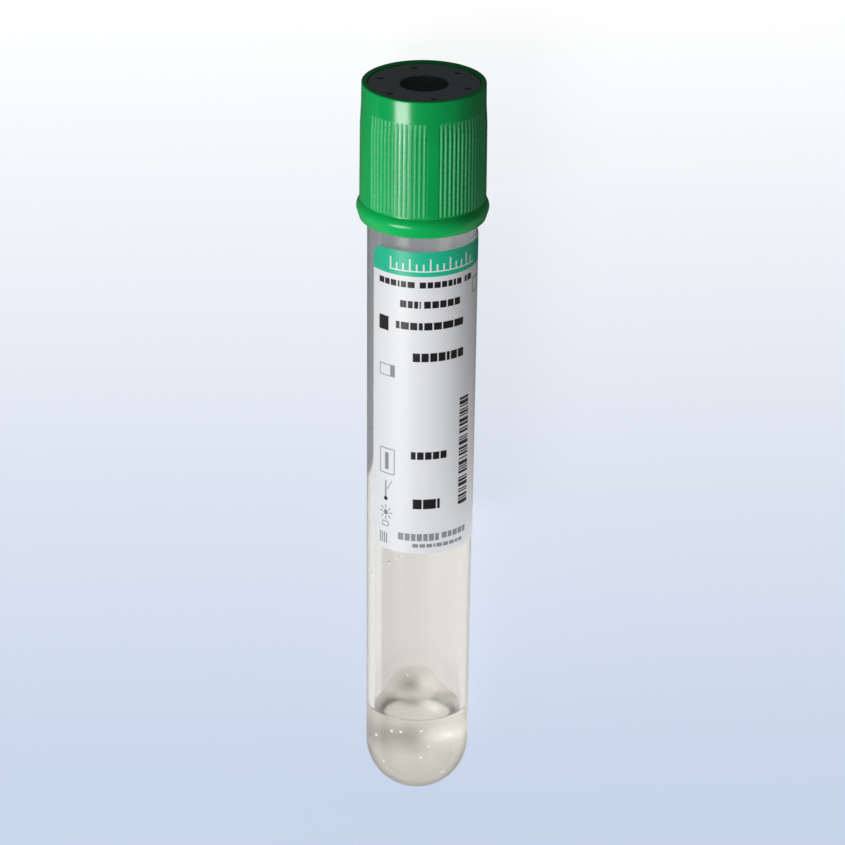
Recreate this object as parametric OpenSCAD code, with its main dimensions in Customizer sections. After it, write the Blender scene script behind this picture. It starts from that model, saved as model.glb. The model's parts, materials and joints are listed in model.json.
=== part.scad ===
// Blood collection tube: a clear round-ended tube with a wrapped film label and a plug of
// clear additive gel, closed by a rubber stopper that is held in a ribbed plastic cap.
//
// Every piece is drawn upright about the Z axis, with z = 0 at the outside of the round end,
// and lay() then puts it on its side, as the tube comes to rest: the cap's flange and the
// round end touch the ground at z = 0, the cap points to +Y and the label's front faces up.
// The origin lies on the ground under the middle of the whole tube.

/* [Tube] */
// Outside diameter of the tube under its rim
tube_d = 15.6; // [12:0.1:20]
// Length of the tube from its rim to the outside of its round end
tube_len = 100; // [75:1:125]
// Thickness of the tube's wall
tube_wall = 1.1; // [0.9:0.05:1.4]
// Draft of the wall, which makes the tube narrower towards its round end, in degrees
draft = 0.235; // [0.1:0.005:0.4]
// Radius of the rounded edges of the rim
rim_round = 0.4; // [0.1:0.05:0.4]

/* [Additive gel] */
// Depth of the gel over the inside of the round end
gel_depth = 12; // [8:0.5:25]
// Film of air left between the gel and the wall
gel_gap = 0.02; // [0.01:0.01:0.05]

/* [Label] */
// Height of the label along the tube
label_h = 46.5; // [20:0.5:60]
// Angle that the label wraps round the tube
label_arc = 308; // [180:1:340]
// Angle from the middle of the label's front to its left edge
label_left = 59; // [30:1:90]
// Thickness of the label film
label_t = 0.1; // [0.08:0.01:0.2]
// Thickness of the glue under the film
label_glue = 0.02; // [0.01:0.01:0.05]
// Radius of the label's corners
label_corner = 2; // [0.5:0.25:3]
// Space between the cap and the top edge of the label
label_drop = 2.4; // [1:0.1:8]

/* [Stopper] */
// Height of the stopper's head above the tube's rim
head_h = 9.7; // [8:0.1:14]
// How far the stopper's head stands out past the tube's rim
head_out = 0.05; // [0:0.01:0.2]
// Gap between the stopper's head and the cap round it
head_gap = 0.05; // [0.03:0.01:0.1]
// Radius of the rounded top edge of the head
head_round = 0.2; // [0.1:0.05:0.8]
// Depth of the groove round the head that the cap's ring sits in
groove_depth = 0.9; // [0.5:0.05:1.2]
// Width of that groove
groove_w = 1.5; // [1:0.1:2]
// Thickness of the flange of the head that seats on the tube's rim
seat_t = 3.6; // [3:0.2:5]
// Length of the plug inside the tube
plug_len = 8.6; // [6:0.2:12]
// Gap between the plug's sealing lands and the tube's bore
plug_gap = 0.05; // [0.02:0.01:0.1]
// Width of each sealing land
land_w = 1.6; // [1:0.1:2]
// Number of sealing lands along the plug
lands = 3; // [2:1:3]
// Depth of the relief between the sealing lands
land_relief = 0.25; // [0.1:0.05:0.4]
// Diameter of the needle well in the top
well_d = 6.7; // [5:0.1:8]
// Depth of the needle well
well_depth = 6; // [4:0.5:8]
// Radius of the soft lip round the mouth of the well
well_lip = 0.25; // [0.1:0.05:1]
// Diameter of the hollow in the underside of the plug
hollow_d = 8; // [5:0.5:9]
// Depth of that hollow
hollow_depth = 6; // [2:0.5:7]
// Width and height of the slant at the top of that hollow
hollow_slant = 1.5; // [0.5:0.25:2]
// Number of small dimples in the top
dimples = 6; // [4:1:8]
// Diameter of each dimple
dimple_d = 1; // [0.6:0.1:1.2]
// Depth of each dimple
dimple_depth = 0.5; // [0.2:0.1:1]
// Space from the edge of the head to the middle of a dimple
dimple_inset = 1.5; // [1:0.1:2]
// Turn of the ring of dimples
dimple_turn = 42.5; // [0:0.5:60]

/* [Cap] */
// Height of the cap above the tube's rim
cap_over = 10; // [9.9:0.1:16]
// Length of the skirt that reaches down over the tube
skirt_len = 10; // [8:0.5:16]
// Gap between the skirt and the tube
skirt_gap = 0.2; // [0.1:0.05:0.3]
// Wall of the cap at its top edge
cap_wall = 0.78; // [0.6:0.02:1]
// Radius of the rounded top edge
cap_round = 0.2; // [0.1:0.05:0.25]
// Clearance between the cap's inner ring and the stopper's groove
ring_gap = 0.05; // [0.03:0.01:0.1]
// How far the flange at the bottom stands out past the skirt
flange_out = 0.43; // [0.3:0.01:1.2]
// Radius of the flange's rounded shoulder
flange_round = 1.3; // [0.8:0.05:1.6]
// Height of the flange's widest line over the bottom edge
flange_rise = 1.65; // [1.2:0.05:2.5]
// Slope of the flange below that line, in degrees
flange_slope = 15.5; // [6:0.5:20]
// Chamfer round the bottom edge
cap_foot = 0.15; // [0.05:0.05:0.3]
// Smooth band between the top edge and the skirt
band_h = 3.1; // [1.5:0.1:5]
// How much that band widens from the top edge to its foot
band_out = 0.02; // [0.01:0.01:0.1]
// How far the skirt swells out under the band
swell_out = 0.15; // [0.05:0.01:0.2]
// Height of that swelling stretch
swell_h = 3; // [1:0.1:6]
// How much the skirt widens from there down to the flange
skirt_out = 0.04; // [0.01:0.01:0.2]
// Depth of the crease between the skirt and the flange
crease_deep = 0.16; // [0.14:0.01:0.2]
// Height of that crease
crease_h = 0.2; // [0.1:0.05:0.4]
// Number of pairs of rib panels round the cap
rib_pairs = 2; // [1:1:2]
// Number of ribs in a panel
ribs = 14; // [6:1:14]
// Angle between two ribs
rib_pitch = 4.235; // [3.6:0.005:4.5]
// Angle between the two panels of a pair, from the last rib of one to the first of the other
pair_gap = 15.3; // [8:0.1:20]
// Turn of the middle of the first pair
rib_turn = 9.1; // [0:0.1:90]
// Depth of the panels that the ribs stand in
panel_deep = 0.08; // [0.04:0.01:0.12]
// Space from the last rib of a panel to the panel's edge, as an angle
panel_edge = 2.4; // [2:0.1:3]
// Radius of a rib's rounded back
rib_r = 0.2; // [0.12:0.01:0.25]
// How far a rib stands out past the skirt
rib_out = 0.03; // [0.01:0.01:0.1]
// Space between the band and the panels, and between a rib's ends and its panel's ends
rib_gap = 0.1; // [0.05:0.05:0.3]

/* [Hidden] */
$fn = 96;

tube_r = tube_d / 2;
bore_r = tube_r - tube_wall;
rim_z = tube_len - rim_round;
end_r = (tube_r - rim_z * tan(draft)) / (1 - tan(draft));
cap_top = tube_len + cap_over;
cap_bottom = tube_len - skirt_len;
head_r = tube_r + head_out;
groove_z = tube_len + seat_t;
head_top = tube_len + head_h;
cap_bore_r = head_r + head_gap;
cap_top_r = cap_bore_r + cap_wall;
band_r = cap_top_r + band_out;
swell_r = band_r + swell_out;
skirt_r = swell_r + skirt_out;
skirt_bore_r = tube_r + skirt_gap;
flange_z = cap_bottom + flange_rise;
flange_r = skirt_r + flange_out;
flange_c = flange_r - flange_round;
crease_r = skirt_r - crease_deep;
crease_z = flange_z + sqrt(flange_round * flange_round - pow(crease_r - flange_c, 2));
skirt_bottom = crease_z + crease_h;
band_bottom = cap_top - band_h;
swell_z = band_bottom - swell_h;
panel_top = band_bottom - rib_gap;
rib_bottom = skirt_bottom + rib_gap;
rib_top = panel_top - rib_gap;
panel_arc = (ribs - 1) * rib_pitch;
label_top = cap_bottom - label_drop;
label_bottom = label_top - label_h;
corner_over = 0.05;
eps = 0.01;

// Radius, at a height, of the drafted wall whose ball at the round end has the radius r.
function wall_r(r, z) = r + (z - end_r) * tan(draft);

// The ground touches the flange's shoulder and the ball of the round end: the axis rises
// towards the cap by the angle at which both are equally high.
rest_a = flange_z - end_r;
rest_hyp = sqrt(rest_a * rest_a + flange_c * flange_c);
rest_tilt = asin((flange_round - end_r) / rest_hyp) + atan2(flange_c, rest_a);
low_y = end_r * cos(rest_tilt) - end_r;
high_y = (cap_top - cap_round) * cos(rest_tilt) + (cap_top_r - cap_round) * sin(rest_tilt)
       + cap_round;
rest_y = -(low_y + high_y) / 2;
rest_z = end_r - end_r * sin(rest_tilt);

// Lays an upright piece down on the ground, with its front upwards.
module lay() {
    translate([0, rest_y, rest_z]) rotate([rest_tilt - 90, 0, 0]) children();
}

// Turns a half section, drawn with x as the radius and y as the height, into a solid.
module turned() {
    rotate_extrude() children();
}

// A bar of the half section between two radii and two heights.
module band(r1, r2, z1, z2) {
    translate([r1, z1]) square([r2 - r1, z2 - z1]);
}

// Half section of a drafted rod up to a height, with a ball of the radius r as its round end.
// All the balls have one centre, so rods of different radii lie evenly inside each other.
module rod(r, top) {
    translate([0, end_r]) intersection() {
        circle(r = r);
        translate([0, -r]) square(r);
    }
    polygon([[0, end_r], [r, end_r], [wall_r(r, top), top], [0, top]]);
}

// Takes the sharp inner corner off a mouth, so that a lip of the given radius is left.
module lip_cut(r, z, lip) {
    difference() {
        band(0, r + lip, z - lip, z + 1);
        translate([r + lip, z - lip]) circle(r = lip);
    }
}

// Clear tube: drafted wall, round end of even thickness and a rim with rounded edges.
module tube() {
    color([0.86, 0.89, 0.91, 0.35]) lay() turned() difference() {
        union() {
            rod(end_r, rim_z);
            band(0, tube_r - rim_round, rim_z, tube_len);
            intersection() {
                translate([tube_r - rim_round, rim_z]) circle(r = rim_round);
                band(0, tube_r, rim_z, tube_len);
            }
        }
        rod(end_r - tube_wall, rim_z);
        lip_cut(bore_r, tube_len, rim_round);
    }
}

// Plug of clear gel that fills the round end.
module additive_gel() {
    color([0.93, 0.92, 0.88, 0.6]) lay() turned()
        rod(end_r - tube_wall - gel_gap, tube_wall + gel_depth);
}

// What is cut off to round one corner of the label: the part of a square outside its rounding,
// run outwards through the film. Its centre is where the rounding's centre goes.
module corner_cut(side, up) {
    size = label_corner + 1;
    rotate([90, 0, 0]) linear_extrude(height = tube_r + 2) difference() {
        translate([side > 0 ? 0 : -size, up > 0 ? 0 : -size]) square(size);
        circle(r = label_corner);
    }
}

// Printed film wrapped round the tube, with a clear window left between its two ends. Its
// corners' roundings run out over its edges a little, so that each meets them at an angle.
module label() {
    left = -90 - label_left;
    inner_r = end_r + label_glue;
    outer_r = inner_r + label_t;
    inset = label_corner - corner_over;
    inset_a = inset / tube_r * 180 / PI;
    color("white") lay() difference() {
        rotate([0, 0, left]) rotate_extrude(angle = label_arc) polygon([
            [wall_r(inner_r, label_bottom), label_bottom],
            [wall_r(outer_r, label_bottom), label_bottom],
            [wall_r(outer_r, label_top), label_top],
            [wall_r(inner_r, label_top), label_top],
        ]);
        for (side = [-1, 1], up = [-1, 1]) {
            edge_a = left + 90 + (side > 0 ? label_arc : 0);
            z = up > 0 ? label_top - inset : label_bottom + inset;
            rotate([0, 0, edge_a - side * inset_a]) translate([0, 0, z])
                corner_cut(side, up);
        }
    }
}

// Rubber stopper: grooved head with a needle well, and a plug with sealing lands.
module stopper() {
    plug_bottom = tube_len - plug_len;
    plug_r = wall_r(end_r - tube_wall, plug_bottom) - plug_gap;
    land_step = (plug_len - land_w) / (lands - 1);
    color([0.18, 0.19, 0.2]) lay() difference() {
        turned() difference() {
            union() {
                band(0, head_r, tube_len, head_top - head_round);
                band(0, head_r - head_round, tube_len, head_top);
                translate([head_r - head_round, head_top - head_round])
                    circle(r = head_round);
                band(0, plug_r - land_relief, plug_bottom, tube_len + eps);
                for (i = [0 : lands - 1])
                    band(0, plug_r, tube_len - land_w - i * land_step,
                         tube_len - i * land_step);
            }
            band(head_r - groove_depth, head_r + 1, groove_z, groove_z + groove_w);
            // well, with its mouth opened out into a soft lip
            band(0, well_d / 2, head_top - well_depth, head_top + 1);
            lip_cut(well_d / 2, head_top, well_lip);
            // hollow under the plug, narrowing upwards
            polygon([
                [0, plug_bottom - 1],
                [hollow_d / 2, plug_bottom - 1],
                [hollow_d / 2, plug_bottom + hollow_depth - hollow_slant],
                [hollow_d / 2 - hollow_slant, plug_bottom + hollow_depth],
                [0, plug_bottom + hollow_depth],
            ]);
        }
        for (i = [0 : dimples - 1])
            rotate([0, 0, dimple_turn + i * 360 / dimples])
                translate([head_r - dimple_inset, 0, head_top - dimple_depth])
                    cylinder(d = dimple_d, h = dimple_depth + 1);
    }
}

// Angles at which the panels of ribs start.
function panel_starts() = [
    for (p = [0 : rib_pairs - 1], side = [0, 1])
        rib_turn + p * 360 / rib_pairs + pair_gap / 2 - side * (panel_arc + pair_gap)
];

// Sunken panel of the skirt, from its first rib on. Its foot opens into the crease.
module panel_cut() {
    foot_z = skirt_bottom - crease_h / 2;
    rotate([0, 0, -panel_edge]) rotate_extrude(angle = panel_arc + 2 * panel_edge) polygon([
        [skirt_r - panel_deep, foot_z],
        [skirt_r + 1, foot_z],
        [skirt_r + 1, panel_top],
        [band_r - panel_deep, panel_top],
        [swell_r - panel_deep, swell_z],
    ]);
}

// Cap: open ring over the stopper's head, with an inner ring in the stopper's groove, a smooth
// band, a skirt with pairs of sunken panels of ribs, and a rounded flange at its foot.
module cap() {
    ring_r = head_r - groove_depth + ring_gap;
    ring_z = groove_z + ring_gap;
    ring_h = groove_w - 2 * ring_gap;
    lower_r = flange_c + flange_round * cos(flange_slope);
    lower_z = flange_z - flange_round * sin(flange_slope);
    foot_r = lower_r - (lower_z - cap_bottom) * tan(flange_slope);
    color([0.05, 0.62, 0.3]) lay() {
        difference() {
            turned() difference() {
                union() {
                    polygon([
                        [0, cap_bottom],
                        [foot_r - cap_foot, cap_bottom],
                        [foot_r, cap_bottom + cap_foot],
                        [lower_r, lower_z],
                        [flange_c, flange_z],
                        [skirt_r, flange_z],
                        [skirt_r, skirt_bottom],
                        [swell_r, swell_z],
                        [band_r, band_bottom],
                        [cap_top_r, cap_top - cap_round],
                        [0, cap_top - cap_round],
                    ]);
                    translate([flange_c, flange_z]) circle(r = flange_round);
                    band(0, cap_top_r - cap_round, cap_top - 1, cap_top);
                    translate([cap_top_r - cap_round, cap_top - cap_round])
                        circle(r = cap_round);
                }
                band(crease_r, skirt_r + 1, crease_z, skirt_bottom);
                band(0, skirt_bore_r, cap_bottom - 1, tube_len);
                band(0, cap_bore_r, tube_len - eps, ring_z);
                band(0, ring_r, ring_z - eps, ring_z + ring_h + eps);
                band(0, cap_bore_r, ring_z + ring_h, cap_top + 1);
            }
            for (start = panel_starts())
                rotate([0, 0, start - 90]) panel_cut();
        }
        for (start = panel_starts(), i = [0 : ribs - 1])
            rotate([0, 0, start - 90 + i * rib_pitch])
                translate([skirt_r + rib_out - rib_r, 0, rib_bottom])
                    cylinder(r = rib_r, h = rib_top - rib_bottom);
    }
}

tube();
additive_gel();
label();
stopper();
cap();
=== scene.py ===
"""Looks of the blood collection tube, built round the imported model.

Shapes are set out in the tube's own terms: an angle round its axis, in degrees from the middle
of the label's front towards the right, a radius, and a height above the tip of the round end,
both in millimetres. place() turns these into the frame's metres, so every piece lies as the
tube lies, on its cap's flange and its round end.
"""

import json
import math

import bmesh
import bpy
from mathutils import Matrix, Vector


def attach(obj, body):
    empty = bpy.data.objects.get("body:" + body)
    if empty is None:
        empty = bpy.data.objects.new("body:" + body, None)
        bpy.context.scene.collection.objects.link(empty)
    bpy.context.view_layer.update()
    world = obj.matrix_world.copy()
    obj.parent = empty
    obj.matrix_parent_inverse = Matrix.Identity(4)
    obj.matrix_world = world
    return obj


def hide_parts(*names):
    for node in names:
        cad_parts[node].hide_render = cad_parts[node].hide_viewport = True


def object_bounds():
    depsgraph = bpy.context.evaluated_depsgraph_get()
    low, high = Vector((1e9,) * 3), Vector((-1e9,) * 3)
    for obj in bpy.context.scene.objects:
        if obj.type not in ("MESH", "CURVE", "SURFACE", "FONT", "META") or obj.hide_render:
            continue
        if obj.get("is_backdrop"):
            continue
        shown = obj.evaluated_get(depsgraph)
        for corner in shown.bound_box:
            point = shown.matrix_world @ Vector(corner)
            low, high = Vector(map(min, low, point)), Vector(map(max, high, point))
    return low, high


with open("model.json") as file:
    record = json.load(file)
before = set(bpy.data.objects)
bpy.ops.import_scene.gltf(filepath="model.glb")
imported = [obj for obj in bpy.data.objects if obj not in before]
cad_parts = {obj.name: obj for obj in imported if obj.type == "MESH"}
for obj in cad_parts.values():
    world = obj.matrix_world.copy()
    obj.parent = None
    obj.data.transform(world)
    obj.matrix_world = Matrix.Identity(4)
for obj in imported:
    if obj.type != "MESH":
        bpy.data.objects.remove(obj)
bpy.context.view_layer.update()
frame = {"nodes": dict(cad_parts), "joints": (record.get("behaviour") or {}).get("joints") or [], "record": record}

MM = 0.001
TINY = 1e-9

# ---------------------------------------------------------------- the tube's own directions

RIGHT = Vector((1, 0, 0))
AXIS = Vector(frame["joints"][0]["axis"]).normalized()
FRONT = RIGHT.cross(AXIS)

well = next(mount for mount in frame["record"]["mounts"] if mount["name"] == "needle_well")
WELL = Vector(well["pos_m"])
TIP = WELL + AXIS * min((v.co - WELL).dot(AXIS) for v in frame["nodes"]["tube"].data.vertices)


def place(angle, radius, height):
    """The frame's point at an angle in degrees and a radius and height in millimetres."""
    turn = math.radians(angle)
    out = RIGHT * math.sin(turn) + FRONT * math.cos(turn)
    return TIP + AXIS * (height * MM) + out * (radius * MM)


def heights(node, closer=math.inf):
    """Heights of a CAD node's vertices that lie closer to the axis than a radius."""
    found = []
    for vertex in frame["nodes"][node].data.vertices:
        offset = (vertex.co - TIP) / MM
        height = offset.dot(AXIS)
        if (offset - AXIS * height).length < closer:
            found.append(height)
    return found


def radii(node, low=-math.inf, high=math.inf):
    """Distances from the axis of a CAD node's vertices that lie between two heights."""
    found = []
    for vertex in frame["nodes"][node].data.vertices:
        offset = (vertex.co - TIP) / MM
        height = offset.dot(AXIS)
        if low < height < high:
            found.append((offset - AXIS * height).length)
    return found


# ---------------------------------------------------------------- sizes, from the frame

GEL_GAP = 0.02
RIM_ROUND = 0.4

TUBE_TOP = max(heights("tube"))
END_R = max(radii("tube", 0, 10))
RIM_R = max(radii("tube"))
SLOPE = (RIM_R - END_R) / (TUBE_TOP - RIM_ROUND - END_R)
GEL_TOP = max(heights("additive_gel"))
WALL = min(heights("additive_gel")) - GEL_GAP
LABEL_LOW, LABEL_HIGH = min(heights("label")), max(heights("label"))
CAP_LOW, CAP_HIGH = min(heights("cap")), max(heights("cap"))


def wall_r(height):
    """Radius of the tube's drafted outside at a height above its round end."""
    return END_R + (height - END_R) * SLOPE


FILM_OUT = max(radii("label")) - wall_r(LABEL_HIGH)


def label_r(height):
    """Radius of the label's face at a height."""
    return wall_r(height) + FILM_OUT


# ---------------------------------------------------------------- colours and materials


def linear(colour):
    """Linear red, green, blue and alpha of an sRGB hex colour."""
    parts = [int(colour[i:i + 2], 16) / 255 for i in (1, 3, 5)]
    made = [p / 12.92 if p <= 0.04045 else ((p + 0.055) / 1.055) ** 2.4 for p in parts]
    return (*made, 1.0)


def add(tree, kind, inputs=None, **settings):
    """Adds a node: its settings, and its inputs as values or as the sockets linked to them."""
    made = tree.nodes.new(kind)
    for name, value in settings.items():
        setattr(made, name, value)
    for name, value in (inputs or {}).items():
        if isinstance(value, bpy.types.NodeSocket):
            tree.links.new(value, made.inputs[name])
        else:
            made.inputs[name].default_value = value
    return made


def new_material(name):
    """An empty node material and its tree."""
    material = bpy.data.materials.new(name)
    material.use_nodes = True
    material.node_tree.nodes.clear()
    return material, material.node_tree


def surface(tree, shader):
    """Links a shader to the material's output."""
    add(tree, "ShaderNodeOutputMaterial", {"Surface": shader})


def ramp_of(node, stops):
    """Sets a colour ramp's stops, given as (place, hex colour)."""
    ramp = node.color_ramp
    while len(ramp.elements) < len(stops):
        ramp.elements.new(0.5)
    for element, (position, colour) in zip(ramp.elements, stops):
        element.position = position
        element.color = linear(colour)


def speckle(tree, size_mm, detail, dark, light):
    """A colour that wanders between two hex colours, in patches of size_mm."""
    where = add(tree, "ShaderNodeTexCoord")
    noise = add(tree, "ShaderNodeTexNoise", {
        "Vector": where.outputs["Object"],
        "Scale": 1 / (size_mm * MM),
        "Detail": detail,
    })
    tone = add(tree, "ShaderNodeValToRGB", {"Fac": noise.outputs["Fac"]})
    ramp_of(tone, [(0.3, dark), (0.7, light)])
    return tone.outputs["Color"]


def grain(tree, size_mm, depth_mm, strength, detail=3.0):
    """The normal of a fine even grain whose grains measure size_mm."""
    where = add(tree, "ShaderNodeTexCoord")
    noise = add(tree, "ShaderNodeTexNoise", {
        "Vector": where.outputs["Object"],
        "Scale": 1 / (size_mm * MM),
        "Detail": detail,
    })
    bump = add(tree, "ShaderNodeBump", {
        "Height": noise.outputs["Fac"],
        "Strength": strength,
        "Distance": depth_mm * MM,
    })
    return bump.outputs["Normal"]


def moulded_polyethylene(name, dark, light, patch_mm, roughness, grain_mm, grain_depth):
    """Injection-moulded polyethylene of the cap: waxy, even green with a soft sheen."""
    material, tree = new_material(name)
    shader = add(tree, "ShaderNodeBsdfPrincipled", {
        "Base Color": speckle(tree, patch_mm, 2.0, dark, light),
        "Roughness": roughness,
        "IOR": 1.51,
        "Normal": grain(tree, grain_mm, grain_depth, 0.6),
    })
    surface(tree, shader.outputs["BSDF"])
    return material


def moulded_rubber(name, dark, light, roughness):
    """Moulded bromobutyl rubber of the stopper: matt near-black with a fine dusty grain."""
    material, tree = new_material(name)
    shader = add(tree, "ShaderNodeBsdfPrincipled", {
        "Base Color": speckle(tree, 0.35, 4.0, dark, light),
        "Roughness": roughness,
        "IOR": 1.52,
        "Normal": grain(tree, 0.15, 0.01, 0.5),
    })
    surface(tree, shader.outputs["BSDF"])
    return material


def let_lamps_through(tree, shader, tint):
    """The shader, but clear to rays from lamps, so that what is inside is lit."""
    path = add(tree, "ShaderNodeLightPath")
    clear = add(tree, "ShaderNodeBsdfTransparent", {"Color": linear(tint)})
    mixed = add(tree, "ShaderNodeMixShader", {0: path.outputs["Is Shadow Ray"], 1: shader})
    tree.links.new(clear.outputs["BSDF"], mixed.inputs[2])
    return mixed.outputs["Shader"]


def moulded_polyester():
    """Injection-moulded clear polyester of the tube: glossy outside, a trace of haze within,
    and the faintest flow lines."""
    material, tree = new_material("polyester_clear_moulded")
    shader = add(tree, "ShaderNodeBsdfPrincipled", {
        "Base Color": linear("#fbfbfa"),
        "Roughness": 0.08,
        "IOR": 1.575,
        "Transmission Weight": 1.0,
        "Normal": grain(tree, 3.0, 0.01, 0.3, detail=1.0),
    })
    surface(tree, let_lamps_through(tree, shader.outputs["BSDF"], "#f4f4f2"))
    return material


def clear_gel():
    """Clear additive gel: soft, wet surface, a trace of cream."""
    material, tree = new_material("additive_gel_clear")
    shader = add(tree, "ShaderNodeBsdfPrincipled", {
        "Base Color": linear("#f7f6f1"),
        "Roughness": 0.22,
        "IOR": 1.36,
        "Transmission Weight": 1.0,
        "Normal": grain(tree, 4.0, 0.3, 0.5, detail=0.5),
    })
    surface(tree, let_lamps_through(tree, shader.outputs["BSDF"], "#f4f2ec"))
    return material


def trapped_air():
    """Small air bubbles in the gel, painted white: the white is a painted reflection for the light their skins
    throw back, so they look pearly.
    """
    material, tree = new_material("air_bubble_painted_reflection")
    shader = add(tree, "ShaderNodeBsdfPrincipled", {
        "Base Color": linear("#ffffff"),
        "Roughness": 0.1,
        "IOR": 1.33,
        "Transmission Weight": 0.25,
    })
    surface(tree, shader.outputs["BSDF"])
    return material


def coated_film():
    """White coated polypropylene label film: satin, with a very fine tooth."""
    material, tree = new_material("polypropylene_film_white")
    shader = add(tree, "ShaderNodeBsdfPrincipled", {
        "Base Color": linear("#eeeff2"),
        "Roughness": 0.42,
        "IOR": 1.49,
        "Normal": grain(tree, 0.25, 0.004, 0.4),
    })
    surface(tree, shader.outputs["BSDF"])
    return material


def adhesive_painted_shade_and_glow():
    """Adhesive on the back of the film, which shows through the clear wall. Its dark grey is painted shade, and
    its even glow is painted light that stands in for the light filtering through the film."""
    material, tree = new_material("adhesive_with_painted_shade_and_glow")
    shader = add(tree, "ShaderNodeBsdfPrincipled", {
        "Base Color": speckle(tree, 0.6, 2.0, "#34373a", "#3a3d40"),
        "Roughness": 0.6,
        "IOR": 1.47,
        "Emission Color": linear("#93969a"),
        "Emission Strength": 0.8,
    })
    surface(tree, shader.outputs["BSDF"])
    return material


def printing_ink(name, dark, light, roughness=0.38):
    """Flexographic ink on the film: an even coat with a slight mottle."""
    material, tree = new_material(name)
    shader = add(tree, "ShaderNodeBsdfPrincipled", {
        "Base Color": speckle(tree, 0.2, 2.0, dark, light),
        "Roughness": roughness,
        "IOR": 1.5,
    })
    surface(tree, shader.outputs["BSDF"])
    return material


# ---------------------------------------------------------------- mesh tools


def make_piece(name, points, faces, materials, slots=None, sharp=35):
    """A mesh object with outward normals, smooth but for edges sharper than an angle."""
    mesh = bpy.data.meshes.new(name)
    mesh.from_pydata(points, [], faces)
    for material in materials:
        mesh.materials.append(material)
    if slots:
        mesh.polygons.foreach_set("material_index", slots)
    shape = bmesh.new()
    shape.from_mesh(mesh)
    bmesh.ops.recalc_face_normals(shape, faces=shape.faces)
    for edge in shape.edges:
        edge.smooth = len(edge.link_faces) == 2 and edge.calc_face_angle() < math.radians(sharp)
    for face in shape.faces:
        face.smooth = True
    shape.to_mesh(mesh)
    shape.free()
    piece = bpy.data.objects.new(name, mesh)
    bpy.context.scene.collection.objects.link(piece)
    return piece


def arc(centre_r, centre_z, radius, start, end, steps):
    """Points of an outline along an arc, from one angle to another, in degrees."""
    points = []
    for i in range(steps + 1):
        turn = math.radians(start + (end - start) * i / steps)
        points.append((centre_r + radius * math.cos(turn), centre_z + radius * math.sin(turn)))
    return points


def lathe(name, outline, materials, angles=None, ripple=None, paint=None, sharp=35):
    """Turns an outline of (radius, height) round the axis. A point on the axis is a pole, and
    an outline without poles closes on itself. ripple(angle, radius, height) gives a point's
    changed radius and height, and paint(angle, radius, height) a face's material by number."""
    angles = angles or [i * 360 / 160 for i in range(160)]
    points, rings = [], []
    for radius, height in outline:
        if radius < TINY:
            rings.append([len(points)])
            points.append(place(0, 0, height))
            continue
        ring = []
        for angle in angles:
            ring.append(len(points))
            out, up = ripple(angle, radius, height) if ripple else (radius, height)
            points.append(place(angle, out, up))
        rings.append(ring)
    ends = list(zip(outline, outline[1:]))
    if outline[0][0] > TINY:
        rings.append(rings[0])
        ends.append((outline[-1], outline[0]))
    faces, slots = [], []
    for lower, upper, (start, end) in zip(rings, rings[1:], ends):
        for i in range(len(angles)):
            j = (i + 1) % len(angles)
            if len(lower) == 1:
                faces.append((lower[0], upper[j], upper[i]))
            elif len(upper) == 1:
                faces.append((lower[i], lower[j], upper[0]))
            else:
                faces.append((lower[i], lower[j], upper[j], upper[i]))
            middle = angles[i] + (angles[j] - angles[i]) % 360 / 2
            radius, height = (start[0] + end[0]) / 2, (start[1] + end[1]) / 2
            slots.append(paint(middle, radius, height) if paint else 0)
    return make_piece(name, points, faces, materials, slots, sharp)


def beads(name, spots, material, across=14, tall=10):
    """Round beads at (point, radius, stretch), stretched along the tube's axis."""
    points, faces = [], []
    for centre, radius, stretch in spots:
        base = len(points)
        points.append(centre - AXIS * radius * stretch * MM)
        for row in range(1, tall):
            lift = math.pi * (row / tall - 0.5)
            for i in range(across):
                turn = 2 * math.pi * i / across
                out = RIGHT * math.cos(turn) + FRONT * math.sin(turn)
                out = out * math.cos(lift) + AXIS * math.sin(lift) * stretch
                points.append(centre + out * radius * MM)
        points.append(centre + AXIS * radius * stretch * MM)
        last = len(points) - 1
        for i in range(across):
            j = (i + 1) % across
            faces.append((base, base + 1 + j, base + 1 + i))
            faces.append((last - across + i, last - across + j, last))
            for row in range(tall - 2):
                lower = base + 1 + row * across
                faces.append((lower + i, lower + j, lower + across + j, lower + across + i))
    return make_piece(name, points, faces, [material])


# ---------------------------------------------------------------- clear tube

polyester = moulded_polyester()
rim_z = TUBE_TOP - RIM_ROUND
bore_r = RIM_R - WALL
tube_outline = (
    arc(0, END_R, END_R, -90, 0, 24)
    + [(wall_r(height), height) for height in (25, 50, 75, rim_z - 0.3)]
    + arc(RIM_R - RIM_ROUND, rim_z, RIM_ROUND, 0, 90, 5)
    + arc(bore_r + RIM_ROUND, rim_z, RIM_ROUND, 90, 180, 5)
    + [(wall_r(height) - WALL, height) for height in (rim_z - 0.3, 75, 50, 25)]
    + arc(0, END_R, END_R - WALL, 0, -90, 24)
)
tube_outline[0] = (0, 0)
tube_outline[-1] = (0, WALL)
tube = lathe("tube_wall", tube_outline, [polyester])
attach(tube, "tube_body")
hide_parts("tube")

# ---------------------------------------------------------------- additive gel

MENISCUS = 0.6
MENISCUS_WIDE = 1.6
MENISCUS_STEPS = 8
GEL_BITE = 0.03
# lobe of gel that stands on the far wall: its place round the tube, half width and height
LOBE_AT, LOBE_WIDE, LOBE_TALL = 186, 38, 2.8
SURFACE_TILT = 0.25

gel_clear = clear_gel()
gel_level = GEL_TOP - MENISCUS / 3
gel_end_r = END_R - WALL + GEL_BITE
gel_outline = arc(0, END_R, gel_end_r, -90, 0, 24)
gel_outline[0] = (0, END_R - gel_end_r)
gel_edge_r = wall_r(gel_level + MENISCUS) - WALL + GEL_BITE
for i in range(MENISCUS_STEPS + 1):
    share = i / MENISCUS_STEPS
    climb = MENISCUS * (1 - share) ** 2.5
    gel_outline.append((gel_edge_r - MENISCUS_WIDE * share, gel_level + climb))
gel_outline.append((0, gel_level))


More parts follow.
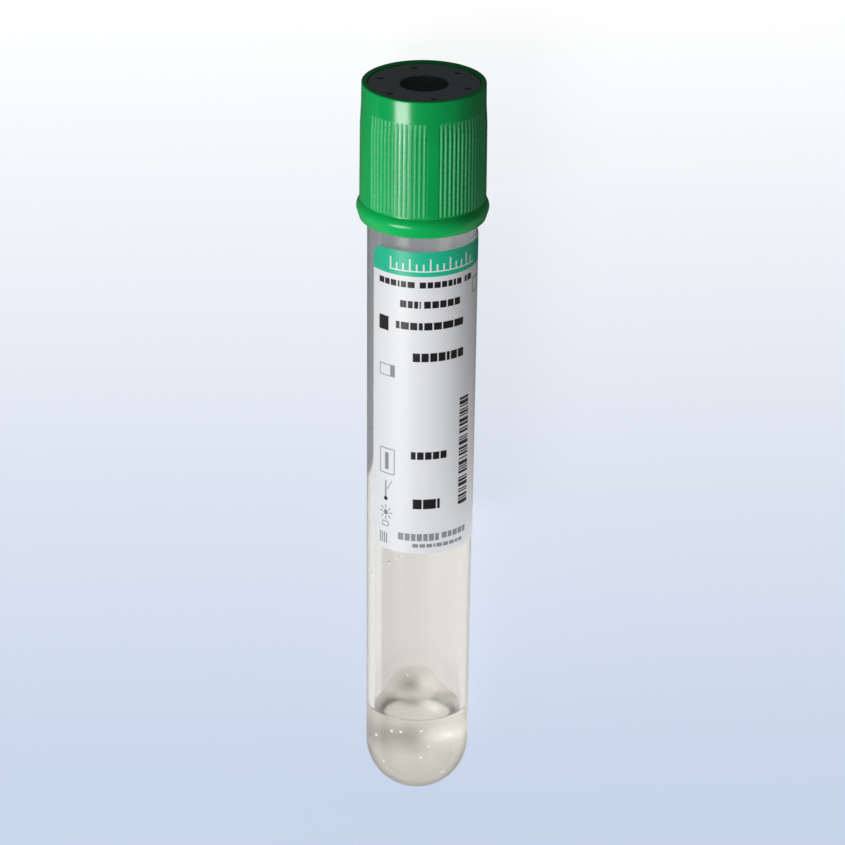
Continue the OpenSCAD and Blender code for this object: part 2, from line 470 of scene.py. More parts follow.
def gel_lobe(angle, radius, height):
    """Lifts the gel's surface into a lobe that has been left standing on the far wall."""
    if height < gel_level - TINY:
        return radius, height
    aside = ((angle - LOBE_AT + 180) % 360 - 180) / LOBE_WIDE
    near_wall = (radius / gel_edge_r) ** 4
    lift = LOBE_TALL * math.exp(-aside ** 4) * near_wall
    tilt = SURFACE_TILT * math.sin(math.radians(angle - LOBE_AT - 90)) * radius / gel_edge_r
    up = height + lift + tilt
    return min(radius, wall_r(up) - WALL + GEL_BITE), up


gel = lathe("additive_gel_clear", gel_outline, [gel_clear], ripple=gel_lobe)
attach(gel, "tube_body")
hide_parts("additive_gel")

# air bubbles that cling to the wall inside the gel, as (angle, height, radius, stretch)
BUBBLES = [(-62, 9.4, 0.28, 1.0), (-34, 11.2, 0.24, 1.0), (-21, 11.4, 0.2, 1.0),
           (6, 11.8, 0.26, 0.9), (18, 9.0, 0.34, 0.8), (6, 7.4, 0.22, 1.0),
           (-47, 5.8, 0.24, 1.0), (43, 4.2, 0.26, 1.0), (28, 11.6, 0.18, 1.0)]


def inside_wall(angle, height, away):
    """The point at a distance inside the tube's bore, or inside the ball at its round end."""
    if height > END_R:
        return place(angle, wall_r(height) - WALL - away, height)
    reach = END_R - WALL - away
    return place(angle, math.sqrt(reach ** 2 - (END_R - height) ** 2), height)


air = trapped_air()
bubbles = beads("gel_bubbles", [
    (inside_wall(angle, height, radius + 0.1), radius, stretch)
    for angle, height, radius, stretch in BUBBLES
], air)
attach(bubbles, "tube_body")

# froth left on the bare wall under the label, half sunk into it, in the bubbles' painted white
DROPS = [(-26, 39.7, 0.2, 1.2), (-38, 38.5, 0.26, 1.0), (-46, 37.7, 0.2, 1.0),
         (-70, 34.9, 0.22, 1.3), (31, 24.0, 0.15, 1.0), (-12, 21.0, 0.12, 1.0)]
drops = beads("wall_drops", [
    (inside_wall(angle, height, 0.03), radius, stretch)
    for angle, height, radius, stretch in DROPS
], air)
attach(drops, "tube_body")

# ---------------------------------------------------------------- label

LABEL_CORNER = 2.0
LABEL_LEFT = -59
LABEL_ARC = 308
BAND_H = 3.7
FILM_T = 0.1

film = coated_film()
adhesive = adhesive_painted_shade_and_glow()
ink_teal = printing_ink("ink_teal", "#1cbc92", "#22cc9f")
ink_dark = printing_ink("ink_dark", "#18191a", "#202122")
ink_grey = printing_ink("ink_grey", "#8b8e90", "#999c9e")
ink_white = printing_ink("ink_white", "#e8edeb", "#f2f5f4")


def label_mesh():
    """The film with rounded corners, its top band in its own colour."""
    middle_r = label_r((LABEL_LOW + LABEL_HIGH) / 2)
    corner_a = math.degrees(LABEL_CORNER / middle_r)
    steps = 8
    near = [corner_a * (1 - math.cos(math.pi / 2 * i / steps)) for i in range(steps + 1)]
    count = 96
    inner = [corner_a + (LABEL_ARC - 2 * corner_a) * i / count for i in range(1, count)]
    spots = near + inner + [LABEL_ARC - a for a in reversed(near)]
    points, faces, slots = [], [], []
    for along in spots:
        gap = math.radians(min(along, LABEL_ARC - along)) * middle_r
        short = max(0.0, LABEL_CORNER - gap)
        drop = LABEL_CORNER - math.sqrt(LABEL_CORNER ** 2 - short ** 2)
        low, high = LABEL_LOW + drop, LABEL_HIGH - drop
        for depth in (0, FILM_T):
            for height in (low, LABEL_HIGH - BAND_H, high):
                points.append(place(LABEL_LEFT + along, label_r(height) - depth, height))
    for i in range(len(spots) - 1):
        a, b = 6 * i, 6 * (i + 1)
        # the two inner strips take the adhesive, whose grey is painted shade and whose glow is painted light
        strips = [(0, 1, 0), (1, 2, 1), (2, 5, 0), (5, 4, 2), (4, 3, 2), (3, 0, 0)]
        for start, end, slot in strips:
            faces.append((a + start, b + start, b + end, a + end))
            slots.append(slot)
    last = 6 * (len(spots) - 1)
    for base in (0, last):
        faces.append((base, base + 1, base + 4, base + 3))
        faces.append((base + 1, base + 2, base + 5, base + 4))
        slots += [0, 0]
    return make_piece("label_film", points, faces, [film, ink_teal, adhesive], slots)


label = label_mesh()
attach(label, "tube_body")
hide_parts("label")

# ---------------------------------------------------------------- print on the label

INK_LOW = 0.01
INK_HIGH = 0.02


class Print:
    """Gathers flat shapes of ink, each a thin closed slab on the label's face. Places are
    (degrees, millimetres) round and along the tube."""

    def __init__(self):
        self.points, self.faces, self.slots = [], [], []

    def shape(self, outline, ink):
        """A filled outline, small enough to lie flat."""
        base, count = len(self.points), len(outline)
        for out in (-INK_LOW, INK_HIGH):
            for angle, height in outline:
                self.points.append(place(angle, label_r(height) + out, height))
        self.faces.append(tuple(base + i for i in reversed(range(count))))
        self.faces.append(tuple(base + count + i for i in range(count)))
        for i in range(count):
            j = (i + 1) % count
            self.faces.append((base + i, base + j, base + count + j, base + count + i))
        self.slots += [ink] * (count + 2)

    def bar(self, left, right, low, high, ink):
        """A rectangle that follows the curve of the label in steps of a few degrees."""
        steps = max(1, math.ceil((right - left) / 3))
        base = len(self.points)
        for i in range(steps + 1):
            angle = left + (right - left) * i / steps
            for out in (-INK_LOW, INK_HIGH):
                for height in (low, high):
                    self.points.append(place(angle, label_r(height) + out, height))
        for i in range(steps):
            a, b = base + 4 * i, base + 4 * (i + 1)
            for start, end in ((0, 1), (1, 3), (3, 2), (2, 0)):
                self.faces.append((a + start, b + start, b + end, a + end))
                self.slots.append(ink)
        for end in (base, base + 4 * steps):
            self.faces.append((end, end + 1, end + 3, end + 2))
            self.slots.append(ink)

    def frame(self, left, right, low, high, line, ink):
        """A rectangle's outline, line millimetres thick."""
        side = math.degrees(line / label_r(low))
        self.bar(left, right, low, low + line, ink)
        self.bar(left, right, high - line, high, ink)
        self.bar(left, left + side, low + line, high - line, ink)
        self.bar(right - side, right, low + line, high - line, ink)

    def disc(self, angle, height, radius, ink, corners=16):
        """A filled circle."""
        outline = []
        for i in range(corners):
            turn = 2 * math.pi * i / corners
            across = math.degrees(radius * math.cos(turn) / label_r(height))
            outline.append((angle + across, height + radius * math.sin(turn)))
        self.shape(outline, ink)

    def stroke(self, angle, height, length, width, lean, ink):
        """A short straight stroke from a point, leaning by an angle from upright."""
        turn = math.radians(lean)
        along = Vector((math.sin(turn), math.cos(turn)))
        across = Vector((along.y, -along.x)) * width / 2
        outline = []
        for spot in (-across, along * length - across, along * length + across, across):
            outline.append((angle + math.degrees(spot.x / label_r(height)), height + spot.y))
        self.shape(outline, ink)

    def words(self, left, right, low, high, pattern, ink):
        """A line of writing shown as dashes: the pattern gives each dash's share of the
        line's length, and a gap between two words as a negative share."""
        gap = math.degrees(0.2 / label_r(low))
        total = sum(abs(part) for part in pattern)
        angle = left
        for part in pattern:
            wide = (right - left) * abs(part) / total
            if part > 0:
                self.bar(angle, angle + wide - gap, low, high, ink)
            angle += wide

    def made(self, name, inks):
        """The piece."""
        return make_piece(name, self.points, self.faces, inks, self.slots)


DARK, GREY, WHITE = 0, 1, 2


def print_band(marks):
    """White scale on the teal band: a thin rule with long and short ticks."""
    marks.bar(-35, 65, 84.6, 84.78, WHITE)
    for i in range(14):
        tall = 1.75 if i % 3 == 0 else 1.0
        left = -34.6 + i * 7.1
        marks.bar(left, left + 1.7, 84.78, 84.78 + tall, WHITE)


def print_lines(marks):
    """Lines of writing, as dashes."""
    marks.words(-48.5, 62, 82.2, 83.1,
                [9, 8, 9, 4, 8, 10, -4, 9, 8, 9, 8, 7, 5, 8, -4, 5, 9], DARK)
    marks.words(-22.5, 44.5, 79.15, 80.2, [9, 7, 6, 3, -2, 9, 9, 9, 9, 9], DARK)
    marks.words(-27, 49.5, 75.85, 76.95, [5, 9, 8, 5, 9, 9, 12, 12], DARK)
    marks.words(-8.5, 50.5, 71.0, 72.3, [9, 9, 9, 9, 5, 9, 9], DARK)
    marks.words(-9.5, 30.5, 55.9, 57.05, [7, 9, 9, 9, 9], DARK)
    marks.words(-7, 23.5, 48.15, 49.65, [10, 14, 4], DARK)
    marks.words(-23, 23, 43.1, 44.2, [10, 9, 8, 9, 8, 9, 7], GREY)
    marks.words(25, 59, 43.3, 44.2, [6, 5, 6, 6, 5], GREY)
    marks.words(-7, 53.5, 42.05, 42.6, [9, 9, 9, 4, 9, 9, 9, 6, 8], GREY)


def print_signs(marks):
    """Plain signs down the left: a block, framed fields, a stem with a bulb, rays."""
    marks.bar(-48.5, -36, 75.15, 77.3, DARK)
    marks.frame(-47.5, -28, 68.2, 70.0, 0.12, GREY)
    marks.bar(-33.5, -28, 68.2, 70.0, GREY)
    marks.frame(-46.5, -27.5, 53.0, 57.0, 0.13, GREY)
    marks.bar(-39.5, -35, 53.7, 56.3, GREY)
    marks.bar(-39.3, -37.6, 49.3, 51.9, GREY)
    marks.disc(-38.4, 49.1, 0.32, DARK)
    marks.stroke(-36.5, 50.6, 1.6, 0.12, 30, GREY)
    centre, level, inner = -38.3, 46.9, 0.62
    marks.disc(centre, level, 0.4, GREY)
    for i in range(8):
        turn = math.radians(i * 45)
        foot = centre + math.degrees(inner * math.sin(turn) / label_r(level))
        marks.stroke(foot, level + inner * math.cos(turn), 0.55, 0.14, i * 45, GREY)
    marks.frame(-43, -34.5, 44.7, 45.5, 0.12, GREY)
    for i in range(4):
        marks.bar(-46.5 + i * 2.9, -45.2 + i * 2.9, 42.0, 43.7, GREY)
    marks.frame(64, 78, 79.9, 82.1, 0.16, GREY)


def print_ladder(marks):
    """A ladder of bars on the right, each as (bar, space) in steps of the ladder."""
    step = 0.185
    level = 47.9
    for bar, space in [(3, 1), (1, 1), (2, 2), (1, 1), (1, 2), (3, 1), (2, 1), (1, 3), (2, 1),
                       (1, 1), (1, 1), (3, 2), (1, 2), (2, 1), (1, 1), (2, 2), (3, 1), (1, 1),
                       (1, 3), (2, 1), (1, 2), (2, 1), (3, 2), (1, 1), (2, 1), (1, 2), (1, 1),
                       (3, 1), (2, 1)]:
        marks.bar(45.5, 60, level, level + bar * step, DARK)
        level += (bar + space) * step


marks = Print()
print_band(marks)
print_lines(marks)
print_signs(marks)
print_ladder(marks)
label_print = marks.made("label_print", [ink_dark, ink_grey, ink_white])
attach(label_print, "tube_body")

# ---------------------------------------------------------------- cap

PAIRS, RIBS, RIB_PITCH, RIB_TURN = 2, 14, 4.235, 9.1
PAIR_GAP = 15.3
PANEL_DEEP, PANEL_EDGE = 0.08, 2.4
RIB_BACK, RIB_OUT, RIB_GAP = 0.2, 0.03, 0.1
RIB_BEVEL = 0.2
CREASE_DEEP, CREASE_TALL = 0.16, 0.2
BAND_TALL, BAND_OUT = 3.1, 0.02
SWELL_TALL, SWELL_OUT, SKIRT_OUT = 3.0, 0.15, 0.04
FLANGE_RISE, FLANGE_ROUND, FLANGE_SLOPE = 1.65, 1.3, 15.5
CAP_ROUND, CAP_FOOT = 0.2, 0.15
# how far the edges of a panel slant, in degrees round the cap and in millimetres at its top
EDGE_SLANT, TOP_SLANT = 0.2, 0.05

FLANGE_R = max(radii("cap"))
CAP_TOP_R = max(radii("cap", CAP_HIGH - CAP_ROUND - 0.02))
BAND_R = CAP_TOP_R + BAND_OUT
SWELL_R = BAND_R + SWELL_OUT
SKIRT_R = SWELL_R + SKIRT_OUT
CREASE_R = SKIRT_R - CREASE_DEEP
RIB_R = SKIRT_R + RIB_OUT
SKIRT_BORE = min(radii("cap", CAP_LOW, CAP_LOW + 1))
HEAD_BORE = min(radii("cap", CAP_HIGH - 1))
RING_R = min(radii("cap"))
ring_heights = heights("cap", RING_R + 0.01)

flange_z = CAP_LOW + FLANGE_RISE
flange_c = FLANGE_R - FLANGE_ROUND
shoulder = math.degrees(math.acos((CREASE_R - flange_c) / FLANGE_ROUND))
skirt_low = flange_z + FLANGE_ROUND * math.sin(math.radians(shoulder)) + CREASE_TALL
band_z = CAP_HIGH - BAND_TALL
swell_z = band_z - SWELL_TALL
panel_high = band_z - RIB_GAP
rib_low = skirt_low + RIB_GAP
rib_high = panel_high - RIB_GAP
PANEL_ARC = (RIBS - 1) * RIB_PITCH
PANEL_STARTS = [RIB_TURN + pair * 360 / PAIRS + PAIR_GAP / 2 - side * (PANEL_ARC + PAIR_GAP)
                for pair in range(PAIRS) for side in (0, 1)]
RIB_CENTRES = [start + rib * RIB_PITCH for start in PANEL_STARTS for rib in range(RIBS)]


def cap_angles():
    """Angles of the cap's mesh: several across each rib, a few across each plain stretch."""
    spots = []
    for centre in RIB_CENTRES:
        for across in (-0.21, -0.2, -0.17, -0.12, -0.06, 0, 0.06, 0.12, 0.17, 0.2, 0.21):
            spots.append(centre + math.degrees(across / SKIRT_R))
    edge = PANEL_EDGE + EDGE_SLANT
    starts = sorted(start % 360 for start in PANEL_STARTS)
    for start, after in zip(starts, starts[1:] + [starts[0] + 360]):
        end = start + PANEL_ARC
        spots += [start - edge, start - PANEL_EDGE, end + PANEL_EDGE, end + edge]
        plain = after - end - 2 * edge
        steps = math.ceil(plain / 3)
        spots += [end + edge + plain * i / steps for i in range(1, steps)]
    return sorted(spot % 360 for spot in spots)


def from_rib(angle):
    """Distance round the skirt from the middle of the nearest rib, in millimetres."""
    nearest = min(abs((angle - centre + 180) % 360 - 180) for centre in RIB_CENTRES)
    return math.radians(nearest) * SKIRT_R


def in_panel(angle):
    """How far a point is inside a sunken panel: 1 on its floor, 0 beyond its slanted edge."""
    half = PANEL_ARC / 2
    nearest = min(abs((angle - start - half + 180) % 360 - 180) for start in PANEL_STARTS)
    return min(1, max(0, (half + PANEL_EDGE + EDGE_SLANT - nearest) / EDGE_SLANT))


def on_skirt(radius, height):
    """Whether a point of the cap's outline is on the outside, within the panels' height."""
    return radius > HEAD_BORE + 0.3 and skirt_low - TINY < height < panel_high + TOP_SLANT


def skirt_ripple(angle, radius, height):
    """Sinks the panels into the skirt and raises their ribs, whose ends are bevelled."""
    if not on_skirt(radius, height) or radius < CREASE_R + TINY:
        return radius, height
    slant = min(1, (panel_high + TOP_SLANT - height) / TOP_SLANT)
    floor_r = radius - PANEL_DEEP * in_panel(angle) * slant
    across = from_rib(angle)
    if across > RIB_BACK + 0.001:
        return floor_r, height
    back = RIB_R - RIB_BACK + math.sqrt(max(0, RIB_BACK ** 2 - across ** 2))
    bevel = min(1, (rib_high - height) / RIB_BEVEL, (height - rib_low) / RIB_BEVEL)
    return floor_r + max(0, back - floor_r) * max(0, bevel), height


def cap_paint(angle, radius, height):
    """The ribs' backs are of the second material, painted lighter as highlight, and the flange of the third,
    painted lighter as light from below.
    """
    if height < skirt_low - CREASE_TALL:
        return 2
    on_rib = rib_low < height < rib_high and from_rib(angle) < RIB_BACK
    return 1 if on_rib and radius > HEAD_BORE + 0.3 else 0


def skirt_r(height):
    """Radius of the skirt's outside beside the panels: it swells out under the band."""
    if height > swell_z:
        return SWELL_R + (BAND_R - SWELL_R) * (height - swell_z) / SWELL_TALL
    return SKIRT_R + (SWELL_R - SKIRT_R) * (height - skirt_low) / (swell_z - skirt_low)


slope = math.radians(FLANGE_SLOPE)
lower_r = flange_c + FLANGE_ROUND * math.cos(slope)
lower_z = flange_z - FLANGE_ROUND * math.sin(slope)
foot_r = lower_r - (lower_z - CAP_LOW) * math.tan(slope)
skirt_heights = (
    skirt_low, rib_low, rib_low + RIB_BEVEL / 2, rib_low + RIB_BEVEL, rib_low + 3, rib_low + 6,
    swell_z - 0.8, swell_z, swell_z + 0.8, rib_high - RIB_BEVEL, rib_high - RIB_BEVEL / 2,
    rib_high, panel_high, panel_high + TOP_SLANT, band_z)
cap_outline = (
    [(SKIRT_BORE, CAP_LOW + CAP_FOOT), (SKIRT_BORE + CAP_FOOT, CAP_LOW),
     (foot_r - CAP_FOOT, CAP_LOW), (foot_r, CAP_LOW + CAP_FOOT)]
    + arc(flange_c, flange_z, FLANGE_ROUND, -FLANGE_SLOPE, shoulder, 12)
    + [(CREASE_R, skirt_low - CREASE_TALL / 2), (CREASE_R, skirt_low - 0.02)]
    + [(skirt_r(height), height) for height in skirt_heights]
    + arc(CAP_TOP_R - CAP_ROUND, CAP_HIGH - CAP_ROUND, CAP_ROUND, 0, 90, 4)
    + arc(HEAD_BORE + CAP_ROUND, CAP_HIGH - CAP_ROUND, CAP_ROUND, 90, 180, 4)
    + [(HEAD_BORE, max(ring_heights)), (RING_R, max(ring_heights)),
       (RING_R, min(ring_heights)), (HEAD_BORE, min(ring_heights)),
       (HEAD_BORE, TUBE_TOP), (SKIRT_BORE, TUBE_TOP)]
)
green_polished = moulded_polyethylene("polyethylene_green_polished",
                                      "#05cb66", "#06d36c", 2.5, 0.2, 0.12, 0.004)
# the ribs' backs are painted a lighter, flecked green: painted highlight for the sheen and sparkle on each rib
green_rib_backs_painted_highlight = moulded_polyethylene("polyethylene_green_rib_backs_painted_highlight",
                                     "#30de7e", "#74eaa8", 0.3, 0.55, 0.2, 0.05)
# the flange is painted a lighter green: painted light for the light it catches from below
green_flange_painted_light = moulded_polyethylene("polyethylene_green_flange_painted_light",
                                   "#06db6c", "#08e372", 2.5, 0.26, 0.12, 0.004)
cap = lathe("cap_shell", cap_outline, [green_polished, green_rib_backs_painted_highlight, green_flange_painted_light],
            cap_angles(), skirt_ripple, cap_paint, sharp=40)
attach(cap, "closure")
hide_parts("cap")

# ---------------------------------------------------------------- stopper

SEAT_T, GROOVE_WIDE = 3.6, 1.5
HEAD_ROUND, WELL_LIP, WELL_DEEP = 0.2, 0.25, 6
LAND_WIDE, LAND_RELIEF, LANDS = 1.6, 0.25, 3
HOLLOW_R, HOLLOW_TALL, HOLLOW_SLANT = 4.0, 6.0, 1.5
DIMPLES, DIMPLE_TURN, DIMPLE_INSET = 6, 12.5, 1.5
DIMPLE_R, DIMPLE_DEEP = 0.62, 0.5

HEAD_TOP = max(heights("stopper"))
PLUG_LOW = min(heights("stopper"))
HEAD_R = max(radii("stopper"))
PLUG_R = max(radii("stopper", PLUG_LOW - 1, TUBE_TOP - 1))
GROOVE_R = min(radii("stopper", TUBE_TOP + SEAT_T - 0.1, TUBE_TOP + SEAT_T + GROOVE_WIDE + 0.1))
WELL_R = well["dims"]["r_mm"]
WELL_LOW = min(heights("stopper", WELL_R + 0.01), key=lambda z: abs(z - HEAD_TOP + WELL_DEEP))
ring_r = HEAD_R - DIMPLE_INSET


def top_angles():
    """Angles of the stopper's mesh, closer together across each dimple."""
    spots = []
    for i in range(DIMPLES):
        middle = DIMPLE_TURN + i * 360 / DIMPLES
        spots += [middle + step * 0.75 for step in range(-8, 9)]
        spots += [middle + 6 + step * 4 for step in range(1, 12)]
    return sorted(spot % 360 for spot in spots)


def from_dimple(angle, radius):
    """Distance from the middle of the nearest dimple, as a share of a dimple's radius."""
    turn = 360 / DIMPLES
    aside = math.radians((angle - DIMPLE_TURN + turn / 2) % turn - turn / 2) * ring_r
    return math.hypot(aside, radius - ring_r) / DIMPLE_R


def dimple_dip(angle, radius, height):
    """Sinks the soft dimples into the stopper's top."""
    if height < HEAD_TOP - TINY or radius < WELL_R + WELL_LIP:
        return radius, height
    return radius, height - DIMPLE_DEEP * max(0, 1 - from_dimple(angle, radius) ** 2)


def dimple_paint(angle, radius, height):
    """The dimples are painted darker, as shade in the hollows: they are of the second material."""
    return 1 if height > HEAD_TOP - TINY and from_dimple(angle, radius) < 0.75 else 0


land_outline = []
land_step = (TUBE_TOP - PLUG_LOW - LAND_WIDE) / (LANDS - 1)
for i in range(LANDS):
    low = PLUG_LOW + i * land_step
    land_outline += [(PLUG_R - LAND_RELIEF, low), (PLUG_R, low), (PLUG_R, low + LAND_WIDE),
                     (PLUG_R - LAND_RELIEF, low + LAND_WIDE)]
top_rings = [ring_r + DIMPLE_R * 1.1 * (1 - i / 9) for i in range(19)]
stopper_outline = (
    [(0, PLUG_LOW + HOLLOW_TALL), (HOLLOW_R - HOLLOW_SLANT, PLUG_LOW + HOLLOW_TALL),
     (HOLLOW_R, PLUG_LOW + HOLLOW_TALL - HOLLOW_SLANT), (HOLLOW_R, PLUG_LOW)]
    + land_outline[1:-2] + [(PLUG_R, TUBE_TOP), (HEAD_R, TUBE_TOP)]
    + [(HEAD_R, TUBE_TOP + SEAT_T), (GROOVE_R, TUBE_TOP + SEAT_T),
       (GROOVE_R, TUBE_TOP + SEAT_T + GROOVE_WIDE), (HEAD_R, TUBE_TOP + SEAT_T + GROOVE_WIDE)]
    + arc(HEAD_R - HEAD_ROUND, HEAD_TOP - HEAD_ROUND, HEAD_ROUND, 0, 90, 4)
    + [(radius, HEAD_TOP) for radius in top_rings]
    + arc(WELL_R + WELL_LIP, HEAD_TOP - WELL_LIP, WELL_LIP, 90, 180, 5)
    + [(WELL_R, WELL_LOW), (0, WELL_LOW)]
)
rubber_dusty = moulded_rubber("bromobutyl_rubber_moulded", "#282c2d", "#363b3c", 0.55)
# the dimples' darker rubber is painted shade
rubber_dimples_painted_shade = moulded_rubber("bromobutyl_rubber_dimples_painted_shade", "#0c0e0e", "#121414", 0.9)
stopper = lathe("stopper_rubber", stopper_outline, [rubber_dusty, rubber_dimples_painted_shade], top_angles(),
                dimple_dip, dimple_paint)
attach(stopper, "closure")
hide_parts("stopper")

# ---------------------------------------------------------------- floor

# what shows through the clear wall: a warm pale grey all round, painted shade on the left half of the tube and
# painted light on the right half, a painted highlight along its left edge, and, from a place on the paper on,
# painted shade behind the label
SEEN_THROUGH = "#e4e0dc"
SEEN_LEFT_PAINTED_SHADE, SEEN_RIGHT_PAINTED_LIGHT, SEEN_RIM_PAINTED_HIGHLIGHT, SEEN_FAR_PAINTED_SHADE = "#dad8d5", "#f4f0ed", "#f6f5f3", "#939599"
SEEN_SHADE_EDGE, SEEN_HALF = -0.0093, 0.008
# strength of the paper's own tint, and the share of real light on it
PAPER_GLOW, PAPER_SHARE = 1.06, 0.12
FLOOR_NEAR, FLOOR_FAR = -0.062, 0.063
FLOOR_HALF = 1.5
FLOOR_DROP = 0.00002

# soft spots of painted shade (the two grey ones) and painted highlight (the two white ones) that the gel bends
# into view, each as (middle, size, colour) on the paper
PAINTED_SPOTS = [((-1.1, -49.2), (3.0, 3.0), "#8f8c87"), ((-1.4, -43.3), (2.8, 3.4), "#96938f"),
           ((1.8, -43.3), (2.2, 3.0), "#fdfbf8"), ((1.5, -49.4), (1.7, 2.4), "#ffffff")]


def painted_spot(tree, where, middle, size):
    """A soft oval blot at a place on the paper: 1 in its middle, 0 from its edge on."""
    scale = (1 / (size[0] * MM), 1 / (size[1] * MM), 1)
    moved = add(tree, "ShaderNodeMapping", {
        "Vector": where,
        "Location": (-middle[0] / size[0], -middle[1] / size[1], 0),
        "Scale": scale,
    })
    blob = add(tree, "ShaderNodeTexGradient", {"Vector": moved.outputs["Vector"]},
               gradient_type="SPHERICAL")
    return blob.outputs["Fac"]


def paper_floor():
    """Graduated backdrop paper under the tube: white beyond the cap, pale blue before the round end. The camera
    sees that tint, with a share of real light that keeps the shadow. The clear tube shows a warm pale grey with
    painted shade on its left half, painted light on its right half, a painted highlight along its left edge,
    painted shade behind the label, and spots of painted shade and painted highlight in the gel. All else is lit by
    a darker paper that darkens towards the cap."""
    material, tree = new_material("backdrop_paper")
    where = add(tree, "ShaderNodeTexCoord")
    split = add(tree, "ShaderNodeSeparateXYZ", {"Vector": where.outputs["Object"]})
    along = add(tree, "ShaderNodeMapRange", {
        "Value": split.outputs["Y"], "From Min": FLOOR_NEAR, "From Max": FLOOR_FAR})
    tint = add(tree, "ShaderNodeValToRGB", {"Fac": along.outputs["Result"]})
    ramp_of(tint, [(0.0, "#c8d4ea"), (0.41, "#dbe3f0"), (0.71, "#ecf1f7"), (1.0, "#ffffff")])
    path = add(tree, "ShaderNodeLightPath")
    glow = add(tree, "ShaderNodeEmission", {
        "Color": tint.outputs["Color"], "Strength": PAPER_GLOW})
    paper = add(tree, "ShaderNodeBsdfDiffuse", {"Color": tint.outputs["Color"]})
    seen = add(tree, "ShaderNodeMixShader", {0: PAPER_SHARE, 1: glow.outputs["Emission"]})
    tree.links.new(paper.outputs["BSDF"], seen.inputs[2])
    shade = add(tree, "ShaderNodeValToRGB", {"Fac": along.outputs["Result"]})
    ramp_of(shade, [(0.0, "#e4e4e2"), (0.5, "#c8c8c6"), (0.72, "#848484"), (1.0, "#4c4c4c")])
    plain = add(tree, "ShaderNodeBsdfDiffuse", {"Color": shade.outputs["Color"]})
    # through the clear wall: painted shade on the left, painted light on the right, a painted highlight at the
    # left edge, and painted shade behind the label
    sideways = add(tree, "ShaderNodeMapRange", {
        "Value": split.outputs["X"], "From Min": -SEEN_HALF, "From Max": SEEN_HALF})
    near = add(tree, "ShaderNodeValToRGB", {"Fac": sideways.outputs["Result"]})
    ramp_of(near, [(0.0, SEEN_RIM_PAINTED_HIGHLIGHT), (0.07, SEEN_LEFT_PAINTED_SHADE), (1.0, SEEN_RIGHT_PAINTED_LIGHT)])
    far = add(tree, "ShaderNodeMapRange", {
        "Value": split.outputs["Y"], "From Min": SEEN_SHADE_EDGE, "From Max": SEEN_SHADE_EDGE + 0.001})
    shown = add(tree, "ShaderNodeMix", {
        "Factor": far.outputs["Result"], "A": near.outputs["Color"], "B": linear(SEEN_FAR_PAINTED_SHADE)},
        data_type="RGBA")
    colour = shown.outputs["Result"]
    # spots of painted shade and painted highlight, seen through the gel
    for middle, size, tone in PAINTED_SPOTS:
        blob = painted_spot(tree, where.outputs["Object"], middle, size)
        shown = add(tree, "ShaderNodeMix", {"Factor": blob, "A": colour, "B": linear(tone)},
                    data_type="RGBA")
        colour = shown.outputs["Result"]
    behind = add(tree, "ShaderNodeEmission", {"Color": colour})
    inner = add(tree, "ShaderNodeMixShader", {
        0: path.outputs["Is Transmission Ray"], 1: plain.outputs["BSDF"]})
    tree.links.new(behind.outputs["Emission"], inner.inputs[2])
    mixed = add(tree, "ShaderNodeMixShader", {
        0: path.outputs["Is Camera Ray"], 1: inner.outputs["Shader"]})
    tree.links.new(seen.outputs["Shader"], mixed.inputs[2])
    surface(tree, mixed.outputs["Shader"])
    return material


floor = make_piece(
    "backdrop",
    [(-FLOOR_HALF, -FLOOR_HALF, 0), (FLOOR_HALF, -FLOOR_HALF, 0),
     (FLOOR_HALF, FLOOR_HALF, 0), (-FLOOR_HALF, FLOOR_HALF, 0)],
    [(0, 1, 2, 3)], [paper_floor()])
floor.location.z = -FLOOR_DROP
floor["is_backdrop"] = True

# ---------------------------------------------------------------- light


def softbox(name, angle, away, height, wide, tall, radiance, aim=None):
    """A rectangular lamp at an angle round the tube's axis and a distance away, at a height
    along it. It faces the axis at the height to aim at, or at its own. Sizes are in
    millimetres."""
    lamp = bpy.data.lights.new(name, "AREA")
    lamp.shape = "RECTANGLE"
    lamp.size, lamp.size_y = wide * MM, tall * MM
    lamp.energy = radiance * math.pi * lamp.size * lamp.size_y
    made = bpy.data.objects.new(name, lamp)
    bpy.context.scene.collection.objects.link(made)
    made.location = place(angle, away, height)
    out = (made.location - place(0, 0, height if aim is None else aim)).normalized()
    upward = (AXIS - out * AXIS.dot(out)).normalized()
    made.rotation_mode = "QUATERNION"
    made.rotation_quaternion = Matrix((upward.cross(out), upward, out)).transposed().to_quaternion()
    made.visible_camera = False
    return made


def keep_off(card, pieces):
    """Makes a card a light without reflections of its own, which misses some pieces."""
    card.visible_glossy = False
    card.visible_transmission = False
    missed = bpy.data.collections.new("missed_by_" + card.name)
    for piece in pieces:
        missed.objects.link(piece)
    card.light_linking.receiver_collection = missed
    for member in missed.collection_objects:
        member.light_linking.link_state = "EXCLUDE"


key = softbox("key_softbox", -39, 500, -20, 230, 160, 13.2)
key.visible_transmission = False
end = softbox("end_softbox", -10, 45, 400, 140, 140, 10.5, aim=CAP_HIGH)
top = softbox("top_card", -2, 300, 200, 260, 260, 1.8, aim=60)
fill = softbox("fill_card", 85, 38, 17, 30, 30, 5.4)

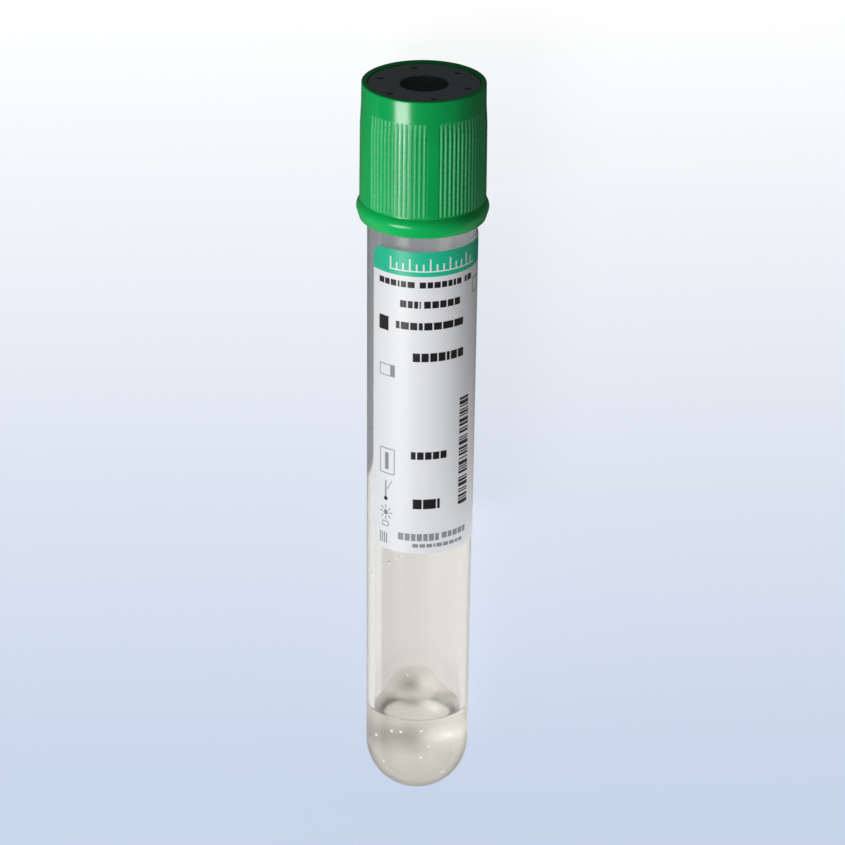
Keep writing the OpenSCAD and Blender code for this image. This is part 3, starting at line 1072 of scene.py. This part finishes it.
# the first lights the stopper's face, and the two cards lift the shade on the label and the gel
keep_off(end, [cap])
keep_off(top, [cap, stopper, floor])
keep_off(fill, [floor])


def studio_world():
    """Pale to the camera, warm grey behind clear plastic, and dim to everything else."""
    world = bpy.data.worlds.new("studio")
    world.use_nodes = True
    tree = world.node_tree
    tree.nodes.clear()
    path = add(tree, "ShaderNodeLightPath")
    dim = add(tree, "ShaderNodeBackground", {"Color": linear("#ffffff"), "Strength": 0.09})
    behind = add(tree, "ShaderNodeBackground", {"Color": linear(SEEN_THROUGH)})
    pale = add(tree, "ShaderNodeBackground", {"Color": linear("#f6f8fc")})
    inner = add(tree, "ShaderNodeMixShader", {
        0: path.outputs["Is Transmission Ray"], 1: dim.outputs["Background"]})
    tree.links.new(behind.outputs["Background"], inner.inputs[2])
    mixed = add(tree, "ShaderNodeMixShader", {
        0: path.outputs["Is Camera Ray"], 1: inner.outputs["Shader"]})
    tree.links.new(pale.outputs["Background"], mixed.inputs[2])
    add(tree, "ShaderNodeOutputWorld", {"Surface": mixed.outputs["Shader"]})
    return world


bpy.context.scene.world = studio_world()

# ---------------------------------------------------------------- camera

CAMERA_AIM = place(0, 0, 58.206) + RIGHT * 0.317 * MM
CAMERA_DISTANCE = 0.63434
CAMERA_RISE = 24.341
CAMERA_ROLL = 0.655
CAMERA_LENS = 189.135

view_rise = math.radians(CAMERA_RISE)
back = FRONT * math.cos(view_rise) + AXIS * math.sin(view_rise)
level_up = (AXIS - back * AXIS.dot(back)).normalized()
level = Matrix((level_up.cross(back), level_up, back)).transposed()
roll = Matrix.Rotation(math.radians(CAMERA_ROLL), 3, "Z")
camera = bpy.data.objects.new("camera", bpy.data.cameras.new("camera"))
bpy.context.scene.collection.objects.link(camera)
camera.data.lens = CAMERA_LENS
camera.data.sensor_width = 36
camera.data.clip_start = 0.01
camera.location = CAMERA_AIM + back * CAMERA_DISTANCE
camera.rotation_mode = "QUATERNION"
camera.rotation_quaternion = (level @ roll).to_quaternion()
bpy.context.scene.camera = camera
bpy.context.scene.view_settings.view_transform = "Standard"

low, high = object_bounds()
